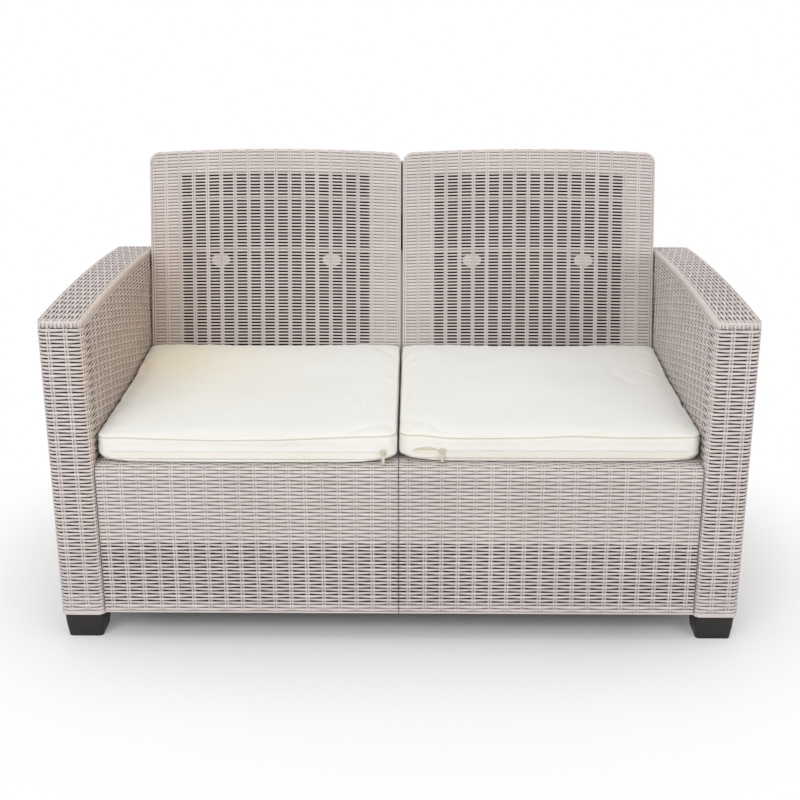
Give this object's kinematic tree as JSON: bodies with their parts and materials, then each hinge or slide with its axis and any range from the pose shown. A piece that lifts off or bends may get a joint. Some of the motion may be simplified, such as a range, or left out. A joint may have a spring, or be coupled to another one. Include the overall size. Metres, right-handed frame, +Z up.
{
  "type": "patio loveseat",
  "caption": "Moulded rattan-look resin loveseat with box arms, slotted leaning backs, woven-look aprons and loose zipped seat cushions.",
  "frame": {"origin": "on the floor under the middle of the bounding box", "axes": "+X across the seat to the right when looking at its front from ahead of it along +Y, -Y towards the front, +Z up"},
  "size_m": [1.25, 0.69, 0.812],
  "materials": {
    "rattan_resin": "satin moulded weave",
    "foot_plastic": "matt moulded",
    "cushion_cover": "plain woven polyester-cotton",
    "zip_tape": "woven tape with nylon coil",
    "zip_metal": "off-white lacquered zinc",
    "steel_fittings": "zinc plated"
  },
  "bodies": {
    "frame": {"arm_bolts": "steel_fittings", "arm_inner_panel_left": "rattan_resin", "arm_inner_panel_right": "rattan_resin", "arm_shell_left": "rattan_resin", "arm_shell_right": "rattan_resin", "arm_top_cap_left": "rattan_resin", "arm_top_cap_right": "rattan_resin", "back_cover_left": "rattan_resin", "back_cover_right": "rattan_resin", "back_cover_screws": "steel_fittings", "back_joining_plate": "rattan_resin", "back_panel_left": "rattan_resin", "back_panel_right": "rattan_resin", "back_tab_bolts": "steel_fittings", "centre_beam": "steel_fittings", "centre_foot": "foot_plastic", "centre_leg": "steel_fittings", "foot_front_left": "foot_plastic", "foot_front_right": "foot_plastic", "foot_rear_left": "foot_plastic", "foot_rear_right": "foot_plastic", "foot_screws": "steel_fittings", "front_apron_left": "rattan_resin", "front_apron_right": "rattan_resin", "front_apron_screws": "steel_fittings", "joining_plate_screws": "steel_fittings", "leg_bolt": "steel_fittings", "rear_apron_left": "rattan_resin", "rear_apron_right": "rattan_resin", "rear_apron_screws": "steel_fittings", "seat_deck_left": "rattan_resin", "seat_deck_right": "rattan_resin", "seat_joining_bolts": "steel_fittings"},
    "cushion_left": {"cushion_left": "cushion_cover", "zip_tape_left": "zip_tape"},
    "cushion_right": {"cushion_right": "cushion_cover", "zip_tape_right": "zip_tape"},
    "zip_slider_left": {"zip_slider_left": "zip_metal"},
    "zip_slider_right": {"zip_slider_right": "zip_metal"},
    "zip_pull_left": {"zip_pull_left": "zip_metal"},
    "zip_pull_right": {"zip_pull_right": "zip_metal"}
  },
  "joints": [
    {"name": "cushion_left_lift", "type": "slide", "parent": "frame", "child": "cushion_left", "axis": [0, 0, 1], "range_m": [0, 0.45]},
    {"name": "cushion_right_lift", "type": "slide", "parent": "frame", "child": "cushion_right", "axis": [0, 0, 1], "range_m": [0, 0.45]},
    {"name": "zip_slider_left_run", "type": "slide", "parent": "cushion_left", "child": "zip_slider_left", "axis": [1, 0, 0], "range_m": [-0.484, 0]},
    {"name": "zip_slider_right_run", "type": "slide", "parent": "cushion_right", "child": "zip_slider_right", "axis": [1, 0, 0], "range_m": [-0.0505, 0.4335]},
    {"name": "zip_pull_left_swing", "type": "hinge", "parent": "zip_slider_left", "child": "zip_pull_left", "pos_m": [-0.0275, -0.3337, 0.3653], "axis": [-1, 0, 0], "range_deg": [0, 150]},
    {"name": "zip_pull_right_swing", "type": "hinge", "parent": "zip_slider_right", "child": "zip_pull_right", "pos_m": [0.078, -0.3247, 0.3653], "axis": [-1, 0, 0], "range_deg": [0, 150]}
  ]
}
